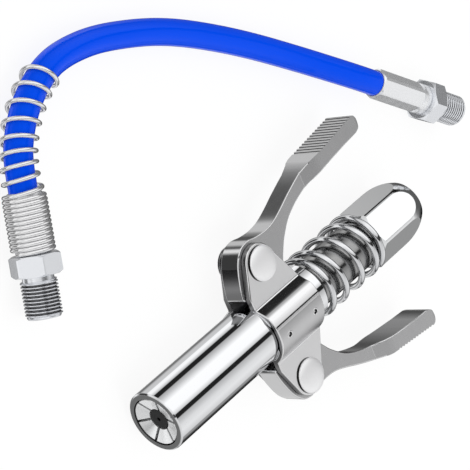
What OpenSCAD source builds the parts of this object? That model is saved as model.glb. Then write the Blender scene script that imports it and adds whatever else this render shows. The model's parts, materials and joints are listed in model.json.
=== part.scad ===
// Grease coupler with six gripping jaws, two squeeze levers and a whip hose
// Millimetres, +X towards the nose, +Z up, everything lies on Z = 0

/* [Sleeve] */
// Outer diameter of the nose sleeve
sleeve_d = 18; // [17.4:0.2:19]
// Length of the nose sleeve
sleeve_l = 67; // [65:0.5:70]
// Wall of the sleeve round the stem
sleeve_wall = 1.62; // [1.5:0.02:1.8]
// Wall of the sleeve at the rim of its mouth
rim_wall = 1.7; // [1.6:0.05:1.8]
// Length of the tapered mouth that closes the jaws
mouth_l = 3.7; // [3.4:0.1:4]
// Radius that the mouth loses in each millimetre of depth
mouth_taper = 0.216; // [0.2:0.002:0.23]

/* [Core] */
// Distance from the mouth to the front lip of the core
core_front = 9.5; // [9:0.1:10]
// Depth by which the jaws' feet hook behind the core's lip
foot_hook = 0.7; // [0.6:0.05:0.8]
// Diameter of the neck that the lever toes reach into
neck_d = 9; // [8.4:0.1:9.4]
// Diameter of the grease passage
passage_d = 3; // [2.4:0.1:3.6]

/* [Hex end] */
// Width across the flats of the rear hex
hex_af = 17.4; // [16.6:0.1:19]
// Length of the rear hex
hex_l = 23; // [21:0.5:26]
// Turn of the hex about the coupler's axis, in degrees
hex_turn = 5; // [0:1:59]
// Diameter of the female thread's bore
port_d = 8.57; // [8.3:0.01:9]
// Depth of the female thread's bore
port_l = 11; // [9:0.5:12]

/* [Main spring] */
// Length between the sleeve and the hex with the levers at rest
spring_l = 28; // [26:0.5:30]
// Wire diameter of the main spring
spring_wire = 1.9; // [1.6:0.1:2]
// Open turns between the closed end turns
spring_turns = 3; // [2.8:0.1:3.4]
// Radial gap between the stem and the coil
spring_gap = 0.8; // [0.5:0.05:1]

/* [Yoke] */
// Thickness of the two yoke plates
plate_t = 1.8; // [1.5:0.1:2]
// Thickness of the half-round wrap, thinned by the press
wrap_t = 1.6; // [1.4:0.1:1.8]
// Length of the wrap along the sleeve
wrap_l = 20; // [19:0.5:22]
// Distance from the mouth to the rivets
pivot_s = 51.7; // [51:0.1:53]
// Distance between the two rivets
pivot_span = 36.6; // [36:0.2:38]
// Distance of the two staked dimples from the ends of the wrap
dimple_edge = 4; // [3:0.2:5]
// Radius of the ear round each rivet
ear_r = 5.7; // [5.5:0.1:6]

/* [Rivets] */
// Diameter of the rivet shank
rivet_d = 6; // [5.6:0.1:6.4]
// Diameter of the rivet heads
rivet_head_d = 10.2; // [9.6:0.1:10.8]
// Height of the rivet heads
rivet_head_h = 2.3; // [2:0.1:2.6]

/* [Levers] */
// Thickness of the lever between the ears
lever_t = 6.8; // [6.4:0.1:7]
// Width of the finger pad
pad_w = 10.4; // [9.6:0.2:12]
// Width of the finger pad at its tip
pad_tip_w = 9.6; // [9:0.2:10.4]
// Number of grip grooves across the finger pad
grip_count = 13; // [9:1:13]
// Radius of the grip grooves
grip_r = 0.45; // [0.3:0.05:0.5]
// Radius of the round nose on the lever toe
toe_r = 1.6; // [1.4:0.1:1.7]
// Swing of a lever from rest to squeezed, in degrees
lever_swing = 18; // [14:1:18]

/* [Jaws] */
// Number of jaws
jaw_count = 6; // [6:1:6]
// Width of the slit between two jaws
jaw_slit = 0.5; // [0.4:0.05:0.8]
// Diameter of the hole that the jaws close round a grease nipple
grip_d = 6.5; // [6.4:0.05:6.7]
// Wall of the slim part of a jaw
jaw_wall = 0.8; // [0.7:0.05:0.9]
// Room round the slim part of the jaws for their swing
swing_gap = 0.5; // [0.45:0.05:0.6]
// Depth of the funnel in the front face of the jaws
funnel_l = 1.3; // [1:0.1:1.5]

/* [Seal and plunger] */
// Diameter of the rubber seal
seal_d = 6.1; // [5.8:0.05:6.2]
// Diameter of the hole through the seal
seal_hole_d = 1.1; // [0.9:0.1:1.4]
// Diameter of the plunger's flange
flange_d = 8.4; // [8:0.1:8.8]
// Diameter of the plunger's stem
plunger_d = 3.8; // [3.5:0.1:4]
// Wire diameter of the plunger spring
plunger_wire = 0.5; // [0.4:0.05:0.55]

/* [Hose] */
// Outer diameter of the hose
hose_d = 7.6; // [7.2:0.1:7.8]
// Width across the flats of both fittings
fitting_af = 12; // [11.8:0.1:13]
// Turn of the near fitting's hex about the hose, in degrees
near_turn = 8; // [0:1:59]
// Turn of the far fitting's hex about the hose, in degrees
far_turn = 15; // [0:1:59]
// Length of the hex on both fittings
fitting_hex_l = 5.5; // [5:0.1:6]
// Outside diameter of the male threads
thread_d = 9.73; // [9.5:0.01:10]
// Length of the male threads
thread_l = 11; // [10:0.1:12]
// Diameter of the hole through both fittings
fitting_hole_d = 3.6; // [3:0.1:4]
// Length of the near ferrule, under the spring guard
near_ferrule_l = 16; // [15:0.5:17]
// Length of the far ferrule
far_ferrule_l = 22; // [20:0.5:23]
// Outside diameter of both ferrules
ferrule_d = 9.3; // [9.1:0.05:9.5]
// Depth of the six crimp flats on the far ferrule
crimp_depth = 0.4; // [0.25:0.05:0.45]
// Turn of the crimp flats about the ferrule's axis, in degrees
crimp_turn = 45; // [0:1:59]

/* [Spring guard] */
// Wire diameter of the spring guard
guard_wire = 1.1; // [0.9:0.05:1.15]
// Closed turns round the near ferrule
guard_closed = 13; // [11:1:13]
// Open turns round the hose
guard_open = 8.5; // [7:0.5:10]

/* [Clearances] */
// Radial gap of the stem in the sleeve
slide_gap = 0.08; // [0.05:0.01:0.1]
// Radial gap of a rivet in its lever
pin_gap = 0.05; // [0.03:0.01:0.1]
// Gap on each side of a lever between the ears
side_gap = 0.2; // [0.15:0.05:0.3]
// Gap round the lever toe in the core
toe_gap = 0.3; // [0.25:0.05:0.4]
// Gap between the jaws and the mouth
jaw_gap = 0.12; // [0.1:0.01:0.15]
// Gap round the seal, the flange and the springs
free_gap = 0.2; // [0.15:0.05:0.25]

/* [Hidden] */
$fn = 96;

// Stations along the coupler, counted backwards from the front face of the sleeve
hex_s = sleeve_l + spring_l;
overall_l = hex_s + hex_l;
front_x = overall_l / 2;
wrap_r = sleeve_d / 2 + wrap_t;
axis_z = wrap_r;
bore_r = sleeve_d / 2 - sleeve_wall;
stem_r = bore_r - slide_gap;
edge = 0.4;

// Levers and toes
pivot_y = pivot_span / 2;
ear_in = lever_t / 2 + side_gap;
ear_out = ear_in + plate_t;
toe_y = neck_d / 2 + toe_gap + toe_r;
toe_arm = pivot_y - toe_y;
toe_tilt = lever_swing / 2;
toe_s = pivot_s + toe_arm * sin(toe_tilt);
collar_s = toe_s - toe_r - 0.35;
groove_s = toe_s + toe_r + 0.5;
slot_front = pivot_s - toe_arm * sin(toe_tilt) - toe_r - toe_gap;
slot_rear = toe_s + toe_r + toe_gap;

// Jaws, their feet and the mouth
mouth_r = sleeve_d / 2 - rim_wall;
land_r = mouth_r - mouth_taper * mouth_l;
land_l = 2.3;
jaw_front = 0.2;
jaw_land = jaw_front + 0.2;
jaw_cone_end = mouth_l + 0.4;
shank_r = land_r - swing_gap;
jaw_in_r = shank_r - jaw_wall;
lip_r = jaw_in_r - free_gap;
lip_l = 3.9;
foot_s = core_front + lip_l;
foot_l = 1.95;
foot_r = land_r + 0.1;
foot_front = foot_s + 0.45;
foot_rear = foot_front + foot_l;
shoulder_s = foot_rear + 0.3;
foot_in = lip_r - foot_hook;
foot_groove_r = foot_in - 0.4;
grip_end = 4.2;

// Seal and plunger
seal_front = jaw_front + funnel_l;
seal_l = 4;
seal_socket_r = 1.6;
seal_skin = 1.5;
flange_s = seal_front + seal_l + 0.1;
flange_l = 1.2;
stem_end = shoulder_s + 1;
guide_r = plunger_d / 2 + slide_gap;
well_r = flange_d / 2 - 0.9;
well_end = core_front + 3.5;
guide_end = stem_end + 3;
ring_s = well_end + 1.6;
ring_r = 0.3;

// Hex end
hex_r = hex_af / 2 / cos(30);
socket_r = stem_r - 1.8;
socket_l = 6;
hex_corner = hex_af / 2 + 1.1;
taper_l = 9;
taper_drop = 0.14 * hex_af;

// Main spring
spring_r = stem_r + spring_gap + spring_wire / 2;

// Where the hose fittings lie on their hexes and which way they point, and the free points between them
function hex_rest(turn) = fitting_af / 2 / cos(30) * cos(30 - turn);
near_end = [73.5, -41.5, hex_rest(near_turn)];
near_heading = 251;
far_end = [-100.8, -10.2, hex_rest(far_turn)];
far_heading = -40;
route = [[58, -83, 5.9], [52, -89, 5.5], [44.5, -93.5, 5.2], [36.5, -96, 4.8], [27.5, -95.5, 4.2],
    [19, -94, 3.9], [10, -91, 3.9], [1, -87.5, 3.9], [-8, -83, 3.9], [-17, -77.5, 3.9],
    [-26, -71.5, 3.9], [-35, -65, 3.9], [-44, -58, 4], [-52, -51.5, 4.6]];
hose_step = 6.5;
hose_sides = 12;
rings_per_step = 2;
near_hex_end = thread_l + fitting_hex_l;
ferrule_wall = 3;
near_hose = near_hex_end + ferrule_wall;
near_mouth = near_hex_end + near_ferrule_l;
far_hose = near_hex_end + ferrule_wall;
far_mouth = near_hex_end + far_ferrule_l;

// Spring guard, in hose steps from where the hose starts
guard_from = (near_hex_end + guard_wire * 0.6 - near_hose) / hose_step;
guard_mid = guard_from + guard_closed * guard_wire * 1.02 / hose_step;
guard_to = 6.5;
guard_tight_r = ferrule_d / 2 + 0.1 + guard_wire / 2;
guard_loose_r = hose_d / 2 + 0.25 + guard_wire / 2;

// A point on a fitting's axis, so far from the end of its thread
function near_at(k) = near_end + k * [cos(near_heading), sin(near_heading), 0];
function far_at(k) = far_end + k * [cos(far_heading), sin(far_heading), 0];

// Control points of the hose, straight inside both ferrules
hose_controls = concat([for (k = [-1:3]) near_at(near_hose + k * hose_step)], route,
    [for (k = [4:-1:-1]) far_at(far_hose + k * hose_step)]);
hose_steps = len(hose_controls) - 3;

// Uniform cubic B-spline through the hose's control points, straight on before its start
function blend(p, t) = (pow(1 - t, 3) * p[0] + (3 * t * t * t - 6 * t * t + 4) * p[1]
    + (-3 * t * t * t + 3 * t * t + 3 * t + 1) * p[2] + t * t * t * p[3]) / 6;
function hose_at(u) = u <= 0 ? near_at(near_hose + u * hose_step)
    : let (i = min(floor(u), hose_steps - 1)) blend([for (k = [0:3]) hose_controls[i + k]], u - i);
function unit(v) = v / norm(v);
function hose_way(u) = unit(hose_at(u + 0.01) - hose_at(u - 0.01));
function across(way) = unit([-way[1], way[0], 0]);

// A circle of n points about c, square to the way it goes
function ring(c, way, r, n) = let (a = across(way), b = cross(way, a))
    [for (k = [0:n - 1]) c + r * (cos(360 * k / n) * a + sin(360 * k / n) * b)];

// A smooth curve through the points p, with n steps between two of them
function curve(p, n) = concat([for (i = [0:len(p) - 2], k = [0:n - 1])
    let (t = k / n, a = p[max(i - 1, 0)], b = p[i], c = p[i + 1], d = p[min(i + 2, len(p) - 1)])
    0.5 * (2 * b + (c - a) * t + (2 * a - 5 * b + 4 * c - d) * t * t
        + (3 * b - a - 3 * c + d) * t * t * t)], [p[len(p) - 1]]);

// A closed tube through rings of n points each
module tube(rings, n) {
    last = len(rings) - 1;
    sides = [for (i = [0:last - 1], k = [0:n - 1])
        [i * n + k, i * n + (k + 1) % n, (i + 1) * n + (k + 1) % n, (i + 1) * n + k]];
    caps = [[for (k = [n - 1:-1:0]) k], [for (k = [0:n - 1]) last * n + k]];
    polyhedron([for (r = rings) each r], concat(sides, caps), convexity = 10);
}

// Right-hand coil on the coupler's axis through [turns, station] marks
module coil(r, wire, steps, n, marks) {
    tube([for (i = [0:steps])
        let (m = marks[i], a = 360 * m[0], s = m[1])
        [for (k = [0:n - 1]) let (q = 360 * k / n, d = r + wire / 2 * cos(q))
            [d * cos(a), d * sin(a), s - wire / 2 * sin(q)]]], n);
}

// Turns and station of each step of a coil with closed ends
function coil_marks(s0, s1, wire, closed, open, steps, start) =
    let (flat = closed * wire * 1.03, rise = s1 - s0 - 2 * flat, total = 2 * closed + open)
    [for (i = [0:steps]) let (n = total * i / steps,
        s = n < closed ? flat * n / closed
            : n > closed + open ? flat + rise + flat * (n - closed - open) / closed
            : flat + rise * (n - closed) / open)
        [n + start, s0 + s]];

// Puts a piece whose axis is local Z on the coupler's axis, at its station
module on_axis(s = 0) translate([front_x - s, 0, axis_z]) rotate([0, -90, 0]) children();

// A turned piece on the coupler's axis from [radius, station] points
module turned(p) on_axis() rotate_extrude() polygon(p);

// Puts a piece on a hose fitting, local Z running from the thread's end towards the hose
module on_near() translate(near_end) rotate([0, 90, near_heading]) children();
module on_far() translate(far_end) rotate([0, 90, far_heading]) children();

// A hexagonal prism with flats square to local X
module hexagon(af, l) rotate(30) cylinder(r = af / 2 / cos(30), h = l, $fn = 6);

module sleeve() color([0.86, 0.87, 0.88]) difference() {
    turned([[mouth_r, 0], [sleeve_d / 2 - edge, 0], [sleeve_d / 2, edge], [sleeve_d / 2, sleeve_l - edge],
        [sleeve_d / 2 - edge, sleeve_l], [bore_r, sleeve_l], [bore_r, mouth_l + land_l + 1],
        [land_r, mouth_l + land_l], [land_r, mouth_l]]);
    for (side = [-1, 1]) translate([front_x - slot_rear, side < 0 ? -sleeve_d : 0, axis_z - ear_in])
        cube([slot_rear - slot_front, sleeve_d, 2 * ear_in]);
}

module core_tube() color([0.72, 0.73, 0.75]) turned([[well_r, core_front], [lip_r - edge, core_front],
    [lip_r, core_front + edge], [lip_r, foot_s], [foot_groove_r, foot_s],
    [foot_groove_r, shoulder_s], [stem_r - edge, shoulder_s], [stem_r, shoulder_s + edge],
    [stem_r, collar_s], [neck_d / 2, collar_s], [neck_d / 2, groove_s], [stem_r, groove_s],
    [stem_r, hex_s], [socket_r, hex_s], [socket_r, hex_s + socket_l], [passage_d / 2, hex_s + socket_l],
    [passage_d / 2, guide_end], [guide_r, guide_end], [guide_r, well_end], [well_r, well_end]]);

// Outline of the turned bar that the hex is milled from: its corners stay round, its rear end tapers
hex_blank = concat([[0, hex_s], [hex_corner - 1, hex_s], [hex_corner, hex_s + 0.9]],
    [for (k = [0:8]) [hex_corner - taper_drop * pow(k / 8, 2), overall_l - taper_l + taper_l * k / 8]],
    [[0, overall_l]]);

module rear_hex() color([0.8, 0.81, 0.82]) difference() {
    intersection() {
        on_axis(hex_s) rotate(hex_turn) rotate(30) hexagon(hex_af, hex_l);
        turned(hex_blank);
    }
    on_axis(hex_s - 1) cylinder(r = socket_r, h = socket_l + 1);
    on_axis(hex_s) cylinder(d = passage_d + 1, h = hex_l);
    on_axis(overall_l - port_l) cylinder(d = port_d, h = port_l + 1);
    on_axis(overall_l - 0.8) cylinder(d1 = port_d, d2 = port_d + 2, h = 1);
}

// Turns of the main spring and the share of its length reached there, easing out of both closed ends
spring_marks = curve([[-0.05, 0], [0.6, 0.035], [0.95, 0.077], [0.95 + 0.183 * spring_turns, 0.212],
    [0.95 + 0.517 * spring_turns, 0.508], [0.95 + 0.85 * spring_turns, 0.804],
    [0.95 + 0.983 * spring_turns, 0.9], [1.4 + spring_turns, 0.98], [1.85 + spring_turns, 1]], 8);
spring_start = 0.294;
spring_steps = 132;
module main_spring() color([0.82, 0.83, 0.85]) on_axis()
    coil(spring_r, spring_wire, spring_steps, 8, [for (i = [0:spring_steps])
        let (n = -0.05 + (1.9 + spring_turns) * i / spring_steps)
        [n + spring_start, sleeve_l + spring_wire / 2 + 0.05
            + (spring_l - spring_wire - 0.1) * lookup(n, spring_marks)]]);

// Outline of an ear and its half of the wrap, x along the coupler and y outwards from its axis
ear_base = sqrt(pow(wrap_r, 2) - pow(ear_out, 2));
wrap_front = 0.435 * wrap_l;
wrap_rear = wrap_front - wrap_l;
ear_front_y = ear_base + 2.6;
module ear_outline() {
    translate([0, pivot_y]) circle(r = ear_r);
    polygon([[wrap_front, 0], [wrap_front, ear_front_y], [ear_r * cos(17), pivot_y + ear_r * sin(17)],
        [0, pivot_y], [-ear_r * cos(32), pivot_y + ear_r * sin(32)], [wrap_rear, ear_base], [wrap_rear, 0]]);
}

module yoke_plate(side) color([0.74, 0.74, 0.74]) difference() {
    translate([front_x - pivot_s, 0, axis_z]) mirror([0, 0, side < 0 ? 1 : 0]) difference() {
        union() {
            intersection() {
                translate([wrap_rear, 0, 0]) rotate([0, 90, 0]) cylinder(r = wrap_r, h = wrap_l);
                translate([wrap_rear, -wrap_r, ear_in]) cube([wrap_l, 2 * wrap_r, wrap_r]);
            }
            for (m = [0, 1]) mirror([0, m, 0]) translate([0, 0, ear_in]) linear_extrude(plate_t)
                ear_outline();
        }
        translate([wrap_rear - 1, 0, 0]) rotate([0, 90, 0]) cylinder(d = sleeve_d, h = wrap_l + 2);
        for (y = [-pivot_y, pivot_y]) translate([0, y, 0]) cylinder(d = rivet_d, h = ear_out + 1);
        for (x = [wrap_front - dimple_edge, wrap_rear + dimple_edge]) translate([x, 0, 0])
            rotate([-10, 0, 0]) translate([0, 0, wrap_r - 0.5]) cylinder(r = 0.7, h = 1);
    }
}

module rivet(side) color([0.88, 0.88, 0.9]) translate([front_x - pivot_s, side * pivot_y, axis_z]) {
    translate([0, 0, -ear_out]) cylinder(d = rivet_d, h = 2 * ear_out);
    for (m = [0, 1]) mirror([0, 0, m]) translate([0, 0, ear_out]) rotate_extrude() polygon(dome);
}
// Half outline of a rivet head: a short straight edge, then an arc to the crown
dome_edge = 0.4;
dome = concat([[0, 0], [rivet_head_d / 2, 0]], [for (k = [0:8]) let (q = 90 * k / 8)
    [rivet_head_d / 2 * cos(q), dome_edge + (rivet_head_h - dome_edge) * sin(q)]]);

// Points of the lever about its rivet, x towards the nose and y outwards
lever_outer = [[9.4, -6.6], [8.6, -3], [7.1, 1.2], [5.3, 4.2], [2.8, 6.3], [-0.4, 6.9], [-4, 6.2],
    [-8, 5.9], [-12, 6.4], [-16.5, 8], [-22, 10.4], [-28, 12.7], [-33, 14.2], [-36.6, 14.7]];
lever_inner = [[-53.8, 11.7], [-46.3, 11], [-36.3, 9.7], [-26.6, 7.6], [-19, 4.5], [-14, 0.3],
    [-11, -3.6], [-9.4, -6.2]];
pad_end = [-54.9, 17.2];
lever_tip = [[-54.9, 17.2], [-56, 16.7], [-56.7, 15.5], [-56.7, 13.9], [-56.1, 12.6], [-53.8, 11.7]];
lever_heel = [[-3, -7], [4, -7.2], [8.8, -7.2]];
pad_start = lever_outer[len(lever_outer) - 1];
pad_lean = atan2(pad_end[1] - pad_start[1], pad_start[0] - pad_end[0]);
grip_margin = 0.9;
module lever_outline() {
    polygon(concat(curve(lever_outer, 5), curve(lever_tip, 3), curve(lever_inner, 5), lever_heel));
    rotate(-toe_tilt) translate([-toe_r, -toe_arm]) square([2 * toe_r, toe_arm]);
    rotate(-toe_tilt) translate([0, -toe_arm]) circle(r = toe_r, $fn = 48);
}
// Half widths of the lever seen from outside: slim at the ears, flared to the finger pad
flare_x = [12, -24, -29, -34, -39, -54, -56, -57];
flare_w = [lever_t, lever_t, lever_t + 0.5, pad_w - 0.5, pad_w, pad_tip_w + 0.1, pad_tip_w,
    pad_tip_w - 0.3];
flare = curve([for (i = [0:len(flare_x) - 1]) [flare_x[i], flare_w[i] / 2]], 4);

module lever(side) color([0.66, 0.66, 0.66])
    translate([front_x - pivot_s, side * pivot_y, axis_z]) mirror([0, side < 0 ? 1 : 0, 0]) difference() {
        intersection() {
            translate([0, 0, -pad_w]) linear_extrude(2 * pad_w) lever_outline();
            translate([0, 2 * pivot_y, 0]) rotate([90, 0, 0]) linear_extrude(4 * pivot_y)
                polygon(concat(flare, [for (k = [len(flare) - 1:-1:0]) [flare[k][0], -flare[k][1]]]));
        }
        cylinder(r = rivet_d / 2 + pin_gap, h = 4 * lever_t, center = true);
        translate(pad_start) rotate(180 - pad_lean) for (i = [0:grip_count - 1])
            translate([grip_margin + i * (norm(pad_end - pad_start) - 2 * grip_margin) / (grip_count - 1),
                -grip_r / 4, 0]) cylinder(r = grip_r, h = 2 * pad_w, center = true, $fn = 24);
    }

function cone_r(s) = mouth_r - mouth_taper * s - jaw_gap;
jaw_half = [[cone_r(jaw_land) - 0.2, jaw_front], [cone_r(jaw_land), jaw_land],
    [cone_r(jaw_cone_end), jaw_cone_end], [shank_r, jaw_cone_end + 0.5],
    [shank_r, foot_front - 0.6], [foot_r, foot_front], [foot_r, foot_rear], [foot_in, foot_rear],
    [foot_in, foot_front], [jaw_in_r, foot_front - 0.5], [jaw_in_r, grip_end + 2],
    [grip_d / 2, grip_end], [grip_d / 2, seal_front]];

// A jaw is one sector of a turned ring, with half a slit taken off each side
module jaw(i) color([0.78, 0.79, 0.8]) intersection() {
    turned(jaw_half);
    on_axis() rotate(90 - 360 * i / jaw_count)
        let (w = 180 / jaw_count, apex = jaw_slit / 2 / sin(w), wide = sleeve_d * tan(w))
            linear_extrude(foot_rear + 1)
                polygon([[apex, 0], [apex + sleeve_d, wide], [apex + sleeve_d, -wide]]);
}

module seal() color([0.12, 0.12, 0.12]) turned([[seal_hole_d / 2, seal_front],
    [seal_d / 2 - 0.3, seal_front], [seal_d / 2, seal_front + 0.3],
    [seal_d / 2, seal_front + seal_l], [seal_socket_r, seal_front + seal_l],
    [seal_socket_r, seal_front + seal_skin], [seal_hole_d / 2, seal_front + seal_skin]]);

module seal_plunger() color([0.8, 0.68, 0.4]) turned([[0.8, seal_front + seal_skin],
    [seal_socket_r, seal_front + seal_skin], [seal_socket_r, flange_s], [flange_d / 2 - 0.3, flange_s],
    [flange_d / 2, flange_s + 0.3], [flange_d / 2, flange_s + flange_l],
    [plunger_d / 2, flange_s + flange_l], [plunger_d / 2, ring_s - ring_r * 1.5],
    [plunger_d / 2 - 2 * ring_r, ring_s - ring_r * 1.5], [plunger_d / 2 - 2 * ring_r, ring_s + ring_r * 1.5],
    [plunger_d / 2, ring_s + ring_r * 1.5], [plunger_d / 2, stem_end], [0.8, stem_end]]);

module plunger_o_ring() color([0.1, 0.1, 0.1]) on_axis(ring_s) rotate_extrude()
    translate([plunger_d / 2 - ring_r + 0.03, 0]) circle(r = ring_r, $fn = 32);

module plunger_spring() color([0.8, 0.8, 0.82]) on_axis()
    coil((plunger_d / 2 + well_r) / 2, plunger_wire, 96, 6, coil_marks(flange_s + flange_l
        + plunger_wire / 2 + 0.05, well_end - plunger_wire / 2 - 0.05, plunger_wire, 1, 3, 96, 0));

module hose_tube() color([0.02, 0.26, 0.91]) tube([for (i = [0:hose_steps * rings_per_step])
    let (u = i / rings_per_step) ring(hose_at(u), hose_way(u), hose_d / 2, hose_sides)], hose_sides);

// Outline of a ferrule with its bore, k counted from the end of the thread
function ferrule_half(mouth) = [[fitting_hole_d / 2 + 0.4, near_hex_end],
    [ferrule_d / 2 - 0.3, near_hex_end], [ferrule_d / 2, near_hex_end + 0.3],
    [ferrule_d / 2, mouth - 0.5], [ferrule_d / 2 - 0.5, mouth],
    [hose_d / 2 + 0.08, mouth], [hose_d / 2 + 0.08, near_hose - 0.05],
    [fitting_hole_d / 2 + 0.4, near_hose - 0.05]];

module near_ferrule() color([0.75, 0.76, 0.78])
    on_near() rotate_extrude() polygon(ferrule_half(near_mouth));

// The far ferrule is squeezed by six dies with round ends, apart from a collar next to the hex
crimp_r = ferrule_d / 2 - crimp_depth;
crimp_w = 2 * sqrt(pow(ferrule_d / 2, 2) - pow(crimp_r, 2)) + crimp_depth;
crimp_from = near_hex_end + 2.6;
module far_ferrule() color([0.82, 0.83, 0.85]) on_far() difference() {
    rotate_extrude() polygon(ferrule_half(far_mouth));
    for (i = [0:5]) rotate(60 * i + crimp_turn) translate([crimp_r, 0, crimp_from + crimp_w / 2]) {
        rotate([0, 90, 0]) cylinder(d = crimp_w, h = ferrule_d, $fn = 48);
        translate([0, -crimp_w / 2, 0]) cube([ferrule_d, crimp_w, far_ferrule_l]);
    }
}

// Hex, relief and male thread in one turned bar, with a spigot that the ferrule is pressed on
module nipple(turn) {
    difference() {
        union() {
            intersection() {
                translate([0, 0, thread_l]) rotate(turn) hexagon(fitting_af, fitting_hex_l);
                rotate_extrude() polygon([[0, thread_l], [fitting_af / 2 - 0.1, thread_l],
                    [fitting_af / 2 / cos(30) + 0.1, thread_l + 0.7],
                    [fitting_af / 2 / cos(30) + 0.1, near_hex_end - 0.7],
                    [fitting_af / 2 - 0.1, near_hex_end], [0, near_hex_end]]);
            }
            rotate_extrude() polygon([[0, 0], [thread_d / 2 - 0.8, 0], [thread_d / 2, 0.8],
                [thread_d / 2, thread_l - 1.8], [thread_d / 2 - 0.7, thread_l - 1.3],
                [thread_d / 2 - 0.7, thread_l + 0.5], [0, thread_l + 0.5]]);
            translate([0, 0, thread_l]) cylinder(d = fitting_hole_d + 0.7, h = near_hose - thread_l - 0.05);
        }
        translate([0, 0, -1]) cylinder(d = fitting_hole_d, h = near_hose + 2);
        translate([0, 0, -0.1]) cylinder(d1 = fitting_hole_d + 1.2, d2 = fitting_hole_d, h = 0.7);
    }
}
module near_nipple() color([0.8, 0.81, 0.84]) on_near() nipple(near_turn);
module far_nipple() color([0.8, 0.81, 0.84]) on_far() nipple(far_turn);

// The guard is wound closed round the ferrule and open round the hose
guard_steps = 340;
function guard_u(t) = guard_from + t * (guard_to - guard_from);
function guard_turns(u) = u < guard_mid ? guard_closed * (u - guard_from) / (guard_mid - guard_from)
    : guard_closed + guard_open * (u - guard_mid) / (guard_to - guard_mid);
function guard_radius(u) = let (f = min(max((u - guard_mid + 0.2) / 0.9, 0), 1))
    guard_tight_r + (guard_loose_r - guard_tight_r) * f;
function guard_time(i) = let (all = guard_closed + guard_open, n = all * i / guard_steps)
    n < guard_closed ? guard_from + n / guard_closed * (guard_mid - guard_from)
    : guard_mid + (n - guard_closed) / guard_open * (guard_to - guard_mid);
module spring_guard() color([0.7, 0.7, 0.7]) tube([for (i = [0:guard_steps])
    let (u = guard_time(i), a = 360 * guard_turns(u), way = hose_way(u), n = across(way),
        b = cross(way, n), out = cos(a) * n + sin(a) * b, r = guard_radius(u))
    [for (k = [0:5]) hose_at(u) + (r + guard_wire / 2 * cos(60 * k)) * out
        - guard_wire / 2 * sin(60 * k) * way]], 6);

sleeve();
core_tube();
rear_hex();
main_spring();
yoke_plate(1);  // yoke_plate_top
yoke_plate(-1);  // yoke_plate_bottom
rivet(1);  // left_rivet
rivet(-1);  // right_rivet
lever(1);  // left_lever
lever(-1);  // right_lever
jaw(0);  // jaw_1
jaw(1);  // jaw_2
jaw(2);  // jaw_3
jaw(3);  // jaw_4
jaw(4);  // jaw_5
jaw(5);  // jaw_6
seal();
seal_plunger();
plunger_o_ring();
plunger_spring();
hose_tube();
near_ferrule();
near_nipple();
spring_guard();
far_ferrule();
far_nipple();
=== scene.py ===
import json
from math import cos, pi, radians, sin

import bmesh
import bpy
import numpy as np
from mathutils import Matrix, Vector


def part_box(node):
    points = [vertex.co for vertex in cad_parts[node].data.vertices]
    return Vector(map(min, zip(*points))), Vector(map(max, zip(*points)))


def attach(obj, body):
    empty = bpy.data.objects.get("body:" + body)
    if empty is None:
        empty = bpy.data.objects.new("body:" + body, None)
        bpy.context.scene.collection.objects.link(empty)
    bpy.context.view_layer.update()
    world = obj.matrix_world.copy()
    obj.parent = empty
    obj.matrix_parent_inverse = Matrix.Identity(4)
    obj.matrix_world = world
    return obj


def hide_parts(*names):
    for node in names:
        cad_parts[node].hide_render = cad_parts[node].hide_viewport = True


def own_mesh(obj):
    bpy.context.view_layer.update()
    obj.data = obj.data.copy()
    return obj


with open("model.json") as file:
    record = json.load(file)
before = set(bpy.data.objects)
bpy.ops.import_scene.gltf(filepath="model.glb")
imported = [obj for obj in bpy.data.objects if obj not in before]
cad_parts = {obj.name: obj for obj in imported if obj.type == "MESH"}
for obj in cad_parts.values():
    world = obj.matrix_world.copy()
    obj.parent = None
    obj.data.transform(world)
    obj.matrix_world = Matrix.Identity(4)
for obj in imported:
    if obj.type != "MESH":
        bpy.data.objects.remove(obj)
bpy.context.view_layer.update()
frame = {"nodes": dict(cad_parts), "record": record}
scene = bpy.context.scene
mm = 0.001
bodies = frame["record"]["behaviour"]["bodies"]
bodyOfNode = {node: body for body, nodes in bodies.items() for node in nodes}

# Camera: a long lens above the nose, rolled so that the coupler points to the lower left
print("camera")
view = {
    "place": (350.1, -209.4, 402.2),  # mm
    "right": (-0.6038, 0.3753, 0.7033),
    "up": (-0.4986, -0.8661, 0.0340),
    "back": (0.6219, -0.3301, 0.7101),
    "lens": 153.19,
}
cameraData = bpy.data.cameras.new("photoCamera")
cameraData.lens = view["lens"]
cameraData.sensor_width = 36
cameraData.clip_start = 0.01
camera = bpy.data.objects.new("photoCamera", cameraData)
turn = Matrix([view["right"], view["up"], view["back"]]).transposed().to_4x4()
camera.matrix_world = Matrix.Translation([v * mm for v in view["place"]]) @ turn
scene.collection.objects.link(camera)
scene.camera = camera


# Mesh helpers
def addPiece(name, mesh, smooth):
    # Puts a mesh in the scene; its edges sharper than the angle stay sharp
    mesh.polygons.foreach_set("use_smooth", np.ones(len(mesh.polygons), bool))
    mesh.set_sharp_from_angle(angle=radians(smooth))
    piece = bpy.data.objects.new(name, mesh)
    scene.collection.objects.link(piece)
    return piece


def standFor(piece, node):
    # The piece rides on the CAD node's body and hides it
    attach(piece, bodyOfNode[node])
    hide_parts(node)
    return piece


def newPiece(name, points, faces, smooth=40):
    # A mesh of points and faces, its doubled points joined and its faces turned outwards
    mesh = bpy.data.meshes.new(name)
    mesh.from_pydata(points.reshape(-1, 3), [], faces)
    mesh.validate()
    tidy = bmesh.new()
    tidy.from_mesh(mesh)
    bmesh.ops.remove_doubles(tidy, verts=tidy.verts, dist=1e-7)
    bmesh.ops.recalc_face_normals(tidy, faces=tidy.faces)
    tidy.to_mesh(mesh)
    tidy.free()
    return addPiece(name, mesh, smooth)


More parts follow.
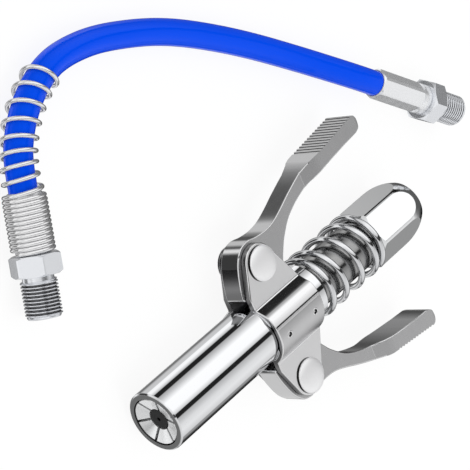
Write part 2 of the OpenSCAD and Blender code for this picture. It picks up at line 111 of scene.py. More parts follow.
def gridFaces(rows, columns, closeRows=False, caps=False):
    # Quads between neighbouring rows and columns of a grid whose rows are rings; caps close both ends
    i, j = np.meshgrid(np.arange(rows if closeRows else rows - 1), np.arange(columns), indexing="ij")
    i, j = i.ravel(), j.ravel()
    nextRow, nextColumn = (i + 1) % rows, (j + 1) % columns
    quads = np.stack([i * columns + j, i * columns + nextColumn,
                      nextRow * columns + nextColumn, nextRow * columns + j], 1).tolist()
    if caps:
        quads.append(list(range(columns - 1, -1, -1)))
        quads.append(list(range((rows - 1) * columns, rows * columns)))
    return quads


def dress(node, edge, angle=35, smooth=30, reshape=None, finish=-1, weigh=None):
    # A cleaned copy of a CAD node that stands for it. What is sharper than the angle is rounded by edge, in
    # mm, with the material number finish; reshape works on the bmesh, and weigh(edge, middle in mm) gives
    # an edge's share of the rounding
    source = frame["nodes"][node].data
    points = np.empty(len(source.vertices) * 3, np.float32)
    source.vertices.foreach_get("co", points)
    mesh = bpy.data.meshes.new(node + "Skin")
    mesh.from_pydata(points.reshape(-1, 3), [], [tuple(p.vertices) for p in source.polygons])
    tidy = bmesh.new()
    tidy.from_mesh(mesh)
    bmesh.ops.remove_doubles(tidy, verts=tidy.verts, dist=1e-6)
    bmesh.ops.dissolve_limit(tidy, angle_limit=radians(0.5), verts=tidy.verts, edges=tidy.edges)
    if reshape:
        reshape(tidy)
    if weigh:
        weight = tidy.edges.layers.float.new("bevel_weight_edge")
        for line in tidy.edges:
            if len(line.link_faces) == 2 and line.calc_face_angle() > radians(angle):
                line[weight] = weigh(line, (line.verts[0].co + line.verts[1].co) / (2 * mm))
    tidy.to_mesh(mesh)
    tidy.free()
    piece = standFor(addPiece(node + "Skin", mesh, smooth), node)
    rounding = piece.modifiers.new("edges", "BEVEL")
    rounding.material = finish
    rounding.width = edge * mm
    rounding.segments = 3
    rounding.limit_method = "WEIGHT" if weigh else "ANGLE"
    rounding.angle_limit = radians(angle)
    rounding.harden_normals = True
    rounding.use_clamp_overlap = not weigh
    return piece


def splitFaces(piece, choose):
    # Gives each face the number of its material: choose(centres, normals), in mm
    mesh = piece.data
    normals = np.empty(len(mesh.polygons) * 3, np.float32)
    centres = np.empty(len(mesh.polygons) * 3, np.float32)
    mesh.polygons.foreach_get("normal", normals)
    mesh.polygons.foreach_get("center", centres)
    chosen = choose(centres.reshape(-1, 3) / mm, normals.reshape(-1, 3))
    mesh.polygons.foreach_set("material_index", chosen.astype(np.int32))
    mesh.update()


def smoothLine(points, steps):
    # Catmull-Rom: each span is a cubic through its two points, aimed along their neighbours
    p = np.asarray(points, float)
    before = np.vstack([p[:1], p[:-2]])
    after = np.vstack([p[2:], p[-1:]])
    t = (np.arange(steps) / steps)[None, :, None]
    a, b, c, d = before[:, None], p[:-1, None], p[1:, None], after[:, None]
    line = 0.5 * (2 * b + (c - a) * t + (2 * a - 5 * b + 4 * c - d) * t**2 + (3 * b - a - 3 * c + d) * t**3)
    return np.vstack([line.reshape(-1, p.shape[1]), p[-1:]])


def unit(v):
    # Vectors over their own lengths
    return v / np.linalg.norm(v, axis=-1, keepdims=True)


# The hose's route, as the CAD has it
print("hose")
hose = {
    "diameter": 7.6, "sides": 40, "perSpan": 8,
    "nearEnd": (73.5, -41.5, 6.4237), "farEnd": (-100.8, -10.2, 6.6921),  # where the threads end
    "nearHeading": 251, "farHeading": -40,  # degrees, from there along the hose
    "nearTurn": 8, "farTurn": 15,  # degrees that the hex is turned about its axis
    "step": 6.5,  # from one control point on a fitting's axis to the next
    "straightPoints": 5,  # how many of them the near end has; the far end has one more
    "insert": 19.5,  # from the thread's end to where the tube begins inside the ferrule
    "nearMouth": 32.5,  # from the thread's end to where the hose leaves the ferrule
    "route": [(58, -83, 5.9), (52, -89, 5.5), (44.5, -93.5, 5.2), (36.5, -96, 4.8), (27.5, -95.5, 4.2),
              (19, -94, 3.9), (10, -91, 3.9), (1, -87.5, 3.9), (-8, -83, 3.9), (-17, -77.5, 3.9),
              (-26, -71.5, 3.9), (-35, -65, 3.9), (-44, -58, 4), (-52, -51.5, 4.6)],
}


def onFitting(end, heading, distance):
    # Points on a fitting's axis, so far from the end of its thread; mm
    way = np.array([cos(radians(heading)), sin(radians(heading)), 0.0])
    return np.array(end) + np.outer(np.atleast_1d(distance), way)


def hosePoints(u):
    # Uniform cubic B-spline through the control points, straight on before its start; mm
    near = hose["insert"] + hose["step"] * np.arange(-1, hose["straightPoints"] - 1)
    far = hose["insert"] + hose["step"] * np.arange(hose["straightPoints"] - 1, -2, -1)
    controls = np.vstack([onFitting(hose["nearEnd"], hose["nearHeading"], near), hose["route"],
                          onFitting(hose["farEnd"], hose["farHeading"], far)])
    u = np.asarray(u, float)
    i = np.clip(np.floor(u).astype(int), 0, len(controls) - 4)
    t = (u - i)[:, None]
    p = [controls[i + k] for k in range(4)]
    spline = ((1 - t)**3 * p[0] + (3 * t**3 - 6 * t**2 + 4) * p[1]
              + (-3 * t**3 + 3 * t**2 + 3 * t + 1) * p[2] + t**3 * p[3]) / 6
    straight = onFitting(hose["nearEnd"], hose["nearHeading"], hose["insert"] + hose["step"] * u)
    return np.where(u[:, None] <= 0, straight, spline)


def hoseFrame(u):
    # Centre, way, side and up of the hose at u
    way = unit(hosePoints(u + 0.01) - hosePoints(u - 0.01))
    side = unit(np.stack([-way[:, 1], way[:, 0], 0 * way[:, 0]], 1))
    return hosePoints(u), way, side, np.cross(way, side)


hoseSpans = len(hose["route"]) + 2 * hose["straightPoints"] + 1 - 3  # three fewer than control points
u = np.linspace(0, hoseSpans, hoseSpans * hose["perSpan"] + 1)
centre, way, side, up = hoseFrame(u)
angle = np.linspace(0, 2 * pi, hose["sides"], endpoint=False)[None, :, None]
# ring round the line: centre + radius (cos a side + sin a up)
rings = np.cos(angle) * side[:, None] + np.sin(angle) * up[:, None]
tube = centre[:, None] + hose["diameter"] / 2 * rings
hoseTube = newPiece("hoseSkin", tube * mm, gridFaces(len(u), hose["sides"], caps=True))
standFor(hoseTube, "hose_tube")
hoseTube.visible_glossy = False  # the photograph joins two pictures: the coupler does not mirror the hose

# Spring guard: wire wound closed round the near ferrule, then open round the hose
print("spring guard")
guard = {
    "wire": 1.1, "sides": 14, "perTurn": 48,
    "closed": 13, "open": 8.5,  # turns
    "tight": 5.3, "loose": 4.6,  # radius over the ferrule and over the hose
    "seat": 17.16,  # the first turn's middle, from the thread's end
    "pack": 1.02,  # closed turns lie so many wires apart
    "end": 6.5,  # the last turn, in spans of the hose
    "narrows": (-0.2, 0.7),  # spans past the closed turns
}
guardFrom = (guard["seat"] - hose["insert"]) / hose["step"]
guardMid = guardFrom + guard["closed"] * guard["wire"] * guard["pack"] / hose["step"]


def wireTube(name, node, line, wire, sides):
    # Round wire along a line: rings of the wire's radius, square to the line; ends closed by flat cuts
    way = unit(np.gradient(line, axis=0))
    across = unit(np.cross(way, np.roll(way, 1, axis=1) + [0.11, 0.07, 0.05]))
    for k in range(1, len(line)):  # carries the ring's frame on without a twist
        v = across[k - 1] - way[k] * (across[k - 1] @ way[k])
        across[k] = v / np.linalg.norm(v)
    other = np.cross(way, across)
    angle = np.linspace(0, 2 * pi, sides, endpoint=False)[None, :, None]
    rings = line[:, None] + wire / 2 * (np.cos(angle) * across[:, None] + np.sin(angle) * other[:, None])
    return standFor(newPiece(name, rings * mm, gridFaces(len(line), sides, caps=True)), node)


# turn by turn: closed turns packed wire to wire, then open ones evenly to the guard's end
guardTurns = guard["closed"] + guard["open"]
turns = np.linspace(0, guardTurns, int(guardTurns * guard["perTurn"]) + 1)
guardU = np.where(turns < guard["closed"], guardFrom + turns / guard["closed"] * (guardMid - guardFrom),
                  guardMid + (turns - guard["closed"]) / guard["open"] * (guard["end"] - guardMid))
radius = np.interp(guardU - guardMid, guard["narrows"], (guard["tight"], guard["loose"]))
centre, way, side, up = hoseFrame(guardU)
coil = np.cos(2 * pi * turns)[:, None] * side + np.sin(2 * pi * turns)[:, None] * up
guardLine = centre + radius[:, None] * coil
springGuard = wireTube("guardSkin", "spring_guard", guardLine, guard["wire"], guard["sides"])

# Threaded ends: hex with chamfered corners, relief and a right-hand thread
print("fittings")
fitting = {
    "acrossFlats": 12, "hexLength": 5.5,
    "cone": 0.577,  # slope of the 30 degree cone that cuts the hex's corners off in arcs
    "thread": 9.73, "threadLength": 11, "pitch": 0.907, "depth": 0.55,  # 1/8 inch pipe thread
    "hole": 3.6, "countersink": 0.6,
    "spigot": 4.3, "spigotEnd": 19.4,
    "facing": 0.1,  # the hex's ends are turned down to this inside its flats
    "relief": 0.75, "reliefFrom": 1.25,  # the groove between thread and hex
    "steep": 2.6, "flat": 0.15,  # the thread's wave: its slope, and what is cut off its crest and root
    "runIn": 0.9, "lead": 0.15, "shallow": 0.35,  # the thread rises at its end, from this share of its depth
    "runOut": 0.5, "fadeFrom": 1.6, "faded": 0.25,  # and fades before the hex, to this depth
    "slack": 0.02,  # keeps the thread's surface clear of the rings beside it
    "rootRadii": (3, 4.605), "rootSpan": (0.8, 9.5),  # the roots, which get painted shade, lie between these, off and along the axis
    "columns": 144, "perPitch": 14,
}


def hexRadius(angle, acrossFlats):
    # Distance from the axis to a hexagon's side, with flats square to angle 0
    folded = (angle + pi / 6) % (pi / 3) - pi / 6
    return acrossFlats / 2 / np.cos(folded)


def nippleSurface(turned):
    # Radius and height over angle, row by row: hole, end face, thread, relief, hex, spigot; mm
    a = np.linspace(0, 2 * pi, fitting["columns"], endpoint=False)
    hexR = hexRadius(a + radians(turned), fitting["acrossFlats"])
    outer, length, hole = fitting["thread"] / 2, fitting["threadLength"], fitting["hole"] / 2
    hexEnd = length + fitting["hexLength"]
    corner = fitting["acrossFlats"] / 2 - fitting["facing"]
    lean = (hexR - corner) * fitting["cone"]
    rows = []

    def ring(r, z):
        rows.append((np.broadcast_to(r, a.shape), np.broadcast_to(z, a.shape)))

    ring(hole, fitting["countersink"])
    ring(hole + fitting["countersink"], 0.0)
    ring(outer - 1.0, 0.0)
    for z in np.arange(0.0, length - fitting["reliefFrom"] - 0.05, fitting["pitch"] / fitting["perPitch"]):
        # the thread's height is a rounded triangle wave of turns along the axis less turns about it
        phase = (z / fitting["pitch"] - a / (2 * pi)) % 1
        wave = np.clip(np.abs(phase - 0.5) * fitting["steep"] - fitting["flat"], 0, 1)
        wave = wave * wave * (3 - 2 * wave)
        start = np.clip((z + fitting["lead"]) / fitting["runIn"], 0, 1)
        crest = outer - (1 - start) * fitting["relief"]
        root = min(outer - fitting["depth"], crest)
        fade = np.clip((length - fitting["fadeFrom"] - z) / fitting["runOut"], 0, 1)
        depth = (crest - root) * fade + fitting["faded"] * (1 - fade)
        share = fitting["shallow"] + (1 - fitting["shallow"]) * start
        ring(crest - depth * (1 - wave) * share - fitting["slack"], z + fitting["slack"])
    ring(outer - fitting["relief"] + 0.05, length - fitting["reliefFrom"])
    ring(outer - fitting["relief"], length - 0.15)
    ring(outer - 0.1, length - 0.05)
    ring(outer + 0.45, length)
    ring(corner, length)
    ring(hexR, length + lean)
    ring(hexR, hexEnd - lean)
    ring(corner, hexEnd)
    ring(fitting["spigot"] / 2, hexEnd)
    ring(fitting["spigot"] / 2, fitting["spigotEnd"])
    ring(hole, fitting["spigotEnd"])
    return a, np.array([row[0] for row in rows]), np.array([row[1] for row in rows])


def placeOnFitting(a, r, z, end, heading):
    # Points round a fitting's axis: z along it from the thread's end, the angle from straight up; mm
    way = np.array([cos(radians(heading)), sin(radians(heading)), 0.0])
    level = np.array([-way[1], way[0], 0.0])
    upward = np.array([0, 0, 1.0])
    return (np.array(end) + z[..., None] * way
            + (r * np.sin(a))[..., None] * level + (r * np.cos(a))[..., None] * upward)


nipples = []
for label in ("near", "far"):
    a, r, z = nippleSurface(hose[label + "Turn"])
    points = placeOnFitting(a, r, z, hose[label + "End"], hose[label + "Heading"])
    piece = newPiece(label + "NippleSkin", points * mm, gridFaces(len(r), len(a), closeRows=True), 28)
    nipples.append(standFor(piece, label + "_nipple"))

nearFerrule = dress("near_ferrule", 0.12)
farFerrule = dress("far_ferrule", 0.14, 18)

# Coupler
print("coupler")
coupler = {"nose": 59.0, "axis": 10.6}  # the nose's place along X, and the axis's height


def onCoupler(angle, radius, station):
    # Points round the coupler's axis; the station counts back from the nose, angle from +Y towards +Z; mm
    return np.stack([coupler["nose"] - station, radius * np.cos(angle),
                     coupler["axis"] + radius * np.sin(angle)], -1)


pivot = {"x": 7.3, "y": 18.3}  # the left rivet's axis; the right one's lies at -y
# from and to are stations of the wire's middle, start is the share of a turn by which the coil is turned
mainSpring = {
    "wire": 1.9, "radius": 9.05, "from": 68.0, "to": 94.0, "start": 0.294,
    # turns, and the share of the length that is reached there
    "marks": [(-0.05, 0), (0.6, 0.035), (0.95, 0.077), (1.499, 0.212), (2.501, 0.508), (3.5, 0.804),
              (3.899, 0.9), (4.4, 0.98), (4.85, 1)],
}
plungerSpring = {
    "wire": 0.5, "radius": 2.6, "from": 7.1, "to": 12.7, "start": 0.0,
    "marks": [(0, 0), (0.6, 0.03), (1, 0.09), (2.5, 0.5), (4, 0.91), (4.4, 0.97), (5, 1)],
}


def coilLine(coil, perTurn):
    # Right-hand helix about the coupler's axis: the marks say how far along it each turn is
    marks = smoothLine(coil["marks"], 8)
    n = np.linspace(marks[0, 0], marks[-1, 0], int(perTurn * (marks[-1, 0] - marks[0, 0])) + 1)
    station = coil["from"] + (coil["to"] - coil["from"]) * np.interp(n, marks[:, 0], marks[:, 1])
    return onCoupler(pi / 2 - 2 * pi * (n + coil["start"]), np.full_like(n, coil["radius"]), station)


spring = wireTube("mainSpringSkin", "main_spring", coilLine(mainSpring, 72), mainSpring["wire"], 20)
# the spring is 28 mm long between its seats, and the core slides 3.72 mm
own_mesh(spring)
smallSpring = wireTube("plungerSpringSkin", "plunger_spring", coilLine(plungerSpring, 40),
                       plungerSpring["wire"], 10)
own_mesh(smallSpring)

wrap = {
    "radius": 10.6, "tolerance": 0.12,  # the solid's outside, and how far its corners may lie off it
    "top": 10.5,  # the pressed wrap's highest point over the axis
    "fold": 30.63, "crease": 102.5, "cuts": 1.5,  # degrees: the folds, the crease, and from cut to cut
    "foldBand": 0.6,  # degrees past a fold that still belong to it
    "steps": 1200,
    # the pressing left the wrap a little flat beside its folds, with a crease:
    # angle from +Y, and where the face looks there
    "looks": [(30.6, 30.6), (88, 88), (97, 93), (101.5, 96), (104.5, 107), (110, 110), (116, 114),
              (121, 130), (124, 142), (126.5, 146.6), (130, 147.6), (149.4, 148.3)],
}


def pressWrap(tidy):
    # Moves the wrap's outside to radius(a): its logarithm's slope is tan(a - the face's angle)
    lookAt, looks = np.array(wrap["looks"], float).T
    a = np.radians(np.linspace(180 - wrap["fold"], wrap["fold"], wrap["steps"]))
    lean = np.tan(a - np.radians(np.interp(np.degrees(a), lookAt, looks)))
    growth = np.concatenate([[0], np.cumsum((lean[1:] + lean[:-1]) / 2 * np.diff(a))])
    radiusAt = np.exp(growth)
    radiusAt *= wrap["top"] / (radiusAt * np.sin(a)).max()

    def polar(vert):
        y, z = vert.co.y / mm, vert.co.z / mm - coupler["axis"]
        return np.hypot(y, z), np.arctan2(abs(z), y)

    def outside(face):
        near = all(abs(polar(v)[0] - wrap["radius"]) < wrap["tolerance"] for v in face.verts)
        return near and abs(face.normal.x) < 0.5

    def above(face):
        return face.calc_center_median().z / mm - coupler["axis"]

    for cut in np.arange(wrap["fold"] + wrap["cuts"], 180 - wrap["fold"] - 0.5, wrap["cuts"]):
        for side in (1, -1):
            faces = [f for f in tidy.faces if outside(f) and above(f) * side > 0]
            edges = list({e for f in faces for e in f.edges})
            corners = list({v for f in faces for v in f.verts})
            if faces:
                bmesh.ops.bisect_plane(tidy, geom=faces + edges + corners, dist=1e-7,
                                       plane_co=(0, 0, coupler["axis"] * mm),
                                       plane_no=(0, -sin(radians(cut)) * side, cos(radians(cut))))
    rim = {v for f in tidy.faces if outside(f) for v in f.verts}
    for vert in rim:
        angle = polar(vert)[1]
        radius = np.interp(-angle, -a, radiusAt)
        side = 1 if vert.co.z / mm > coupler["axis"] else -1
        if abs(np.degrees(angle) - 90) > 90 - wrap["fold"] - wrap["foldBand"]:
            # a fold slides in the ears' plane
            height = abs(vert.co.z / mm - coupler["axis"])
            vert.co.y = np.sqrt(radius**2 - height**2) * np.sign(vert.co.y) * mm
        else:
            vert.co.y = radius * cos(angle) * mm
            vert.co.z = (coupler["axis"] + side * radius * sin(angle)) * mm


dimple = {
    "stations": (0.0, 12.0), "angle": 80,  # places along X, and degrees from +Y
    "keepOff": 1.6,  # no rounding nearer than this
    # the cup's outline: radius, and height over the wrap
    "radii": [0, 0.3, 0.52, 0.66, 0.74, 0.82, 0.92, 1.02, 1.1, 1.12, 1.12, 0],
    "heights": [-0.44, -0.42, -0.36, -0.22, -0.04, 0.05, 0.07, 0.04, -0.02, -0.12, -0.6, -0.6],
    "lift": 0.02, "pit": 0.1,  # what lies deeper than the pit is painted dark, as shade
    "columns": 40,
}
rivet = {
    "shank": 3.0, "head": 5.1,  # radii
    "height": 2.3, "rim": 0.92,  # of the head, and of its upright rim
    "seat": 5.4,  # the head's underside over the coupler's axis
    "columns": 96, "domeRows": 20,
}
yoke = {
    "insideEars": 4.0,  # no rounding nearer to the middle height than this
    "hole": 0.2,  # nor so near outside a rivet's shank
    "frontEdge": 9.4, "wall": 9.7,  # sheared upright faces lie further off Y = 0 and off the axis
    "polishFrom": 9.6,  # the wrap's outside lies further from the axis
    "dull": (-1.5, 9.2), "dullWall": (9.9, 10.8),  # the duller side lies between these: Y, radius
}
lever = {
    "pad": 32, "padEnd": 52, "padInside": 12.5,  # mm behind the rivet, and outside it
    "toe": 9.4, "toeShare": 0.2,  # nearer to Y = 0 than this the rounding has this share
    "hole": 0.3, "holeShare": 0.3,  # the same beside the rivet's shank
}


def inDimple(place):
    # Distance from the nearer dimple's axis; mm
    side = np.sign(place[2] - coupler["axis"])
    across = np.array([0, cos(radians(dimple["angle"])), side * sin(radians(dimple["angle"]))])
    offsets = [np.array([place[0] - x, place[1], place[2] - coupler["axis"]]) for x in dimple["stations"]]
    return min(np.linalg.norm(o - across * (o @ across)) if o @ across > 0 else 99.0 for o in offsets)


def fromRivet(middle):
    # Distance from the nearer rivet's axis; mm
    return np.hypot(middle.x - pivot["x"], abs(middle.y) - pivot["y"])


def yokeEdge(line, middle):
    # Full rounding on outlines, none in the dimples, the rivet holes and between the ears
    if inDimple(middle) < dimple["keepOff"] or abs(middle.z - coupler["axis"]) < yoke["insideEars"]:
        return 0.0
    return 0.0 if fromRivet(middle) < rivet["shank"] + yoke["hole"] else 1.0


def leverEdge(line, middle):
    # Full rounding on outlines, none on the grip's ridges and upright corners, little at hole and toe
    if min(abs(face.normal.z) for face in line.link_faces) > 0.3:
        return 0.0
    if middle.x < pivot["x"] - lever["pad"]:
        inner = abs(middle.y) - pivot["y"] < lever["padInside"]
        return 1.0 if inner and middle.x > pivot["x"] - lever["padEnd"] else 0.0
    if fromRivet(middle) < rivet["shank"] + lever["hole"]:
        return lever["holeShare"]
    return 1.0 if abs(middle.y) > lever["toe"] else lever["toeShare"]


def yokeFinish(centres, normals):
    # 0 satin ears, 1 polished wrap from the crease to the -Y fold, 2 sheared edges, 3 the duller +Y side
    y, z = centres[:, 1], centres[:, 2] - coupler["axis"]
    radius, angle = np.hypot(y, z), np.degrees(np.arctan2(np.abs(z), y))
    sideways = abs(normals[:, 0]) < 0.5
    polished = (angle > wrap["crease"]) & (angle < 180 - wrap["fold"] - 0.3)
    polished = polished & (radius > yoke["polishFrom"]) & sideways
    upright = (abs(normals[:, 2]) < 0.3) & (radius > yoke["wall"]) & (abs(y) > yoke["frontEdge"])
    sheared = (abs(normals[:, 0]) > 0.8) | upright
    dull = (y > yoke["dull"][0]) & (y < yoke["dull"][1]) & sideways
    dull = dull & (radius > yoke["dullWall"][0]) & (radius < yoke["dullWall"][1])
    return np.select([polished, sheared, dull], [1, 2, 3], 0)


def pitShadeFaces(centres, normals):
    # 1 in a stake's pit, which gets painted shade, 0 on its rim
    height = np.hypot(centres[:, 1], centres[:, 2] - coupler["axis"])
    return np.where(height < wrap["top"] - dimple["pit"], 1, 0)


def stakeSurface(station, side):
    # A cup with a thrown-up rim, turned about the dimple's axis and bent to the wrap's curve; mm
    r = np.array(dimple["radii"])[:, None]
    h = np.array(dimple["heights"])[:, None]
    t = np.linspace(0, 2 * pi, dimple["columns"], endpoint=False)[None, :]
    across = r * np.sin(t)
    height = wrap["top"] + dimple["lift"] + h - across**2 / (2 * wrap["top"])
    a = radians(dimple["angle"])
    return np.stack([station + r * np.cos(t), height * cos(a) + across * sin(a),
                     coupler["axis"] + side * (height * sin(a) - across * cos(a))], -1)


def rivetSurface(node):
    # Turned outline: a shank, and on each end a short straight rim under a quarter of an ellipse
    q = np.linspace(0, pi / 2, rivet["domeRows"])
    dome = rivet["seat"] + rivet["rim"] + (rivet["height"] - rivet["rim"]) * np.sin(q)
    r = np.concatenate([[rivet["shank"], rivet["head"], rivet["head"]], rivet["head"] * np.cos(q)])
    z = np.concatenate([[0, rivet["seat"], rivet["seat"]], dome])
    r, z = np.concatenate([r[::-1], r]), np.concatenate([-z[::-1], z])
    angle = np.linspace(0, 2 * pi, rivet["columns"], endpoint=False)
    low, high = np.array(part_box(node)) / mm
    middle = (low + high) / 2
    return np.stack([middle[0] + r[:, None] * np.cos(angle), middle[1] + r[:, None] * np.sin(angle),
                     coupler["axis"] + np.broadcast_to(z[:, None], (len(z), len(angle)))], -1)


def newStakes(node, side):
    # The two stakes of one plate
    cups = [stakeSurface(x, side) for x in dimple["stations"]]
    faces = gridFaces(len(cups[0]), dimple["columns"])
    points = np.concatenate([cup.reshape(-1, 3) for cup in cups])
    twoCups = faces + [[v + len(points) // 2 for v in face] for face in faces]
    piece = newPiece(node + "Stakes", points * mm, twoCups, 60)
    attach(piece, bodyOfNode[node])
    return piece


def newRivet(node):
    # Both domes and the shank in one closed surface
    points = rivetSurface(node)
    piece = newPiece(node + "Skin", points * mm, gridFaces(len(points), rivet["columns"]), 50)
    piece.visible_glossy = False  # keeps the dark line beside the wrap's fold whole
    return standFor(piece, node)


hexBar = {
    "firstCorner": 145,  # degrees from +Y
    "outside": 8.9,  # the corner bands lie further out than this
    "band": (1.8, 3.4), "shift": 0.42,  # degrees past a corner, and how far the edge there is turned
}


def turnCorners(tidy):
    # Tilts the bands on the hex's corners by four degrees: their upper edge slides along its flat
    for vert in tidy.verts:
        y, z = vert.co.y / mm, vert.co.z / mm - coupler["axis"]
        radius, angle = np.hypot(y, z), np.degrees(np.arctan2(z, y))
        past = (angle - hexBar["firstCorner"] + 30) % 60 - 30
        if radius > hexBar["outside"] and hexBar["band"][0] < past < hexBar["band"][1]:
            moved = past + hexBar["shift"]
            radius *= cos(radians(30 - past)) / cos(radians(30 - moved))
            angle = radians(angle + hexBar["shift"])
            vert.co.y, vert.co.z = radius * cos(angle) * mm, (coupler["axis"] + radius * sin(angle)) * mm


stakes = [newStakes("yoke_plate_top", 1), newStakes("yoke_plate_bottom", -1)]
# width of the rounding in mm, and how sharp in degrees an edge has to be to get it
yokeSkin = {"edge": 0.32, "angle": 40, "reshape": pressWrap, "finish": 1, "weigh": yokeEdge}
leverSkin = {"edge": 0.36, "angle": 40, "finish": 1, "weigh": leverEdge}
skins = {
    "sleeve": dress("sleeve", edge=0.25, angle=40),
    "core_tube": dress("core_tube", edge=0.1, angle=40),
    "rear_hex": dress("rear_hex", edge=0.09, angle=20, smooth=12, reshape=turnCorners),
    "yoke_plate_top": dress("yoke_plate_top", **yokeSkin),
    "yoke_plate_bottom": dress("yoke_plate_bottom", **yokeSkin),
    "left_rivet": newRivet("left_rivet"),
    "right_rivet": newRivet("right_rivet"),
    "left_lever": dress("left_lever", **leverSkin),
    "right_lever": dress("right_lever", **leverSkin),
    "seal": dress("seal", edge=0.1, angle=40),
    "seal_plunger": dress("seal_plunger", edge=0.05, angle=40),
}
jaws = {"count": 6, "slit": 0.16, "edge": 0.05}  # mm off each flank, and of rounding


def slimJaw(number):
    # Draws a jaw's flanks in, towards its middle plane, by the slit or half their distance from it
    a = 2 * pi * number / jaws["count"]

    def slim(tidy):
        for vert in tidy.verts:
            across = -vert.co.y * sin(a) + (vert.co.z - coupler["axis"] * mm) * cos(a)
            shift = -np.sign(across) * min(jaws["slit"] * mm, abs(across) / 2)
            vert.co.y -= shift * sin(a)
            vert.co.z += shift * cos(a)
    return slim


for i in range(jaws["count"]):
    name = "jaw_%d" % (i + 1)
    skins[name] = dress(name, edge=jaws["edge"], angle=40, reshape=slimJaw(i))


# Materials
print("materials")


def linear(hexColor):
    # sRGB hex to linear RGBA
    values = np.array([int(hexColor[i:i + 2], 16) for i in (1, 3, 5)]) / 255
    values = np.where(values <= 0.04045, values / 12.92, ((values + 0.055) / 1.055) ** 2.4)
    return (*values.tolist(), 1.0)


def addNode(tree, kind, inputs=None, **settings):
    # One node with its settings; an input is a value or another node's socket
    node = tree.nodes.new(kind)
    for key, value in settings.items():
        setattr(node, key, value)
    for key, value in (inputs or {}).items():
        if isinstance(value, bpy.types.NodeSocket):
            tree.links.new(value, node.inputs[key])
        else:
            node.inputs[key].default_value = value
    return node


def newMaterial(name):
    # A material with nodes, and its shader
    material = bpy.data.materials.new(name)
    material.use_nodes = True
    return material, material.node_tree.nodes["Principled BSDF"]


def metal(name, color, roughness, grain=0.0, grainSize=0.2, stretch=(1, 1, 1), mottle=0.0, mottleSize=3.0,
          metallic=1.0):
    # Plated or bare metal: grain is the depth of a fine bump in mm, mottle a slow change of the gloss
    material, shader = newMaterial(name)
    tree = material.node_tree
    place = addNode(tree, "ShaderNodeTexCoord").outputs["Object"]
    shader.inputs["Base Color"].default_value = linear(color)
    shader.inputs["Metallic"].default_value = metallic
    shader.inputs["Roughness"].default_value = roughness
    if mottle:
        cloud = addNode(tree, "ShaderNodeTexNoise",
                        {"Vector": place, "Scale": 1 / (mottleSize * mm), "Detail": 3.0})
        spread = addNode(tree, "ShaderNodeMapRange",
                         {"Value": cloud.outputs["Fac"], "From Min": 0.3, "From Max": 0.7,
                          "To Min": roughness - mottle, "To Max": roughness + mottle})
        tree.links.new(spread.outputs["Result"], shader.inputs["Roughness"])
    if grain:
        shape = addNode(tree, "ShaderNodeMapping", {"Vector": place, "Scale": stretch})
        fine = addNode(tree, "ShaderNodeTexNoise",
                       {"Vector": shape.outputs["Vector"], "Scale": 1 / (grainSize * mm), "Detail": 2.0})
        bump = addNode(tree, "ShaderNodeBump",
                       {"Height": fine.outputs["Fac"], "Distance": grain * mm, "Strength": 1.0})
        tree.links.new(bump.outputs["Normal"], shader.inputs["Normal"])
    return material


# Hard chrome over polished steel tube: mirror-bright, almost no haze; its end face is turned and greyer
chrome = {"color": "#EDEEF0", "endFace": "#D2D3D4", "endFaceFrom": 0.12}
brightChrome = metal("brightChromePlate", chrome["color"], 0.04, mottle=0.015, mottleSize=8)
tree = brightChrome.node_tree
place = addNode(tree, "ShaderNodeTexCoord").outputs["Object"]
axisPlace = addNode(tree, "ShaderNodeSeparateXYZ", {"Vector": place})
faceStart = (coupler["nose"] - chrome["endFaceFrom"]) * mm
endFace = addNode(tree, "ShaderNodeMath", {0: axisPlace.outputs["X"], 1: faceStart},
                  operation="GREATER_THAN")
faceColor = addNode(tree, "ShaderNodeMix", {"Factor": endFace.outputs[0], 6: linear(chrome["color"]),
                                            7: linear(chrome["endFace"])}, data_type="RGBA")
tree.links.new(faceColor.outputs[2], tree.nodes["Principled BSDF"].inputs["Base Color"])

# Bare steel stem, turned: grey, with fine rings round it that smear its reflections
turnedSteel = metal("turnedStemSteel", "#9D9D9D", 0.17, 0.003, 0.15, (1, 0.05, 0.05))
# Chrome over a milled hex: bright flats that mirror the studio with a slight haze
hexChrome = metal("satinChromeHex", "#F2F3F4", 0.08, mottle=0.015)
# Drawn spring wire, bright zinc: narrow crisp lines of light along the coils
springWire = metal("brightSpringWire", "#E4E5E7", 0.1, mottle=0.02)
# Pressed steel sheet, bead blasted and nickel plated: pale satin that hides all reflections
yokeNickel = metal("pressedNickelSheet", "#F6F6F7", 0.36, 0.002, 0.2, mottle=0.02)
# The same sheet where the press die has burnished it: a clear mirror with a soft crease
yokePolish = metal("polishedNickelSheet", "#ECECED", 0.05, mottle=0.01)
# The sheet's sheared edges: darker and streaked
yokeShear = metal("shearedNickelEdge", "#8A8A8B", 0.25, 0.002, 0.2)
# The wrap's side that was drawn over the die: a greyer satin
yokeDull = metal("drawnNickelSheet", "#CDCDCE", 0.34, 0.003, 0.2, mottle=0.03)
# Nickel plated rivet, tumbled: almost white and soft, with no reflection to be made out
rivetNickel = metal("satinRivet", "#FAFAFB", 0.5, metallic=0.7)
# Painted shade under a rivet's dome and in the stakes' pits, where shadow falls: a black line
rimShadePaint = metal("paintedRivetGapShade", "#1E1E1F", 0.4)
# Cast lever, blasted and nickel plated: mid grey satin with a fine skin
castNickel = metal("blastedNickelCasting", "#C0C0C1", 0.28, 0.003, 0.3, mottle=0.02)
# The lever's ground sides: smoother, with broad bands of light and dark
groundNickel = metal("groundNickelEdge", "#E0E0E1", 0.1, 0.002, 0.3, mottle=0.02)
# Painted shade on the front of the right lever's heel, where the yoke shades it: dark grey
heelShadePaint = metal("paintedHeelShade", "#808081", 0.2, 0.002, 0.3)
# Painted shade in the steel bore behind the jaws: nearly black, no gloss
boreShadePaint = metal("paintedBoreShade", "#3A3A3A", 0.5)
# Ground and plated jaws: near white, each with its own soft gradient
jawSteel = metal("groundJawSteel", "#F2F3F4", 0.14, metallic=0.6)
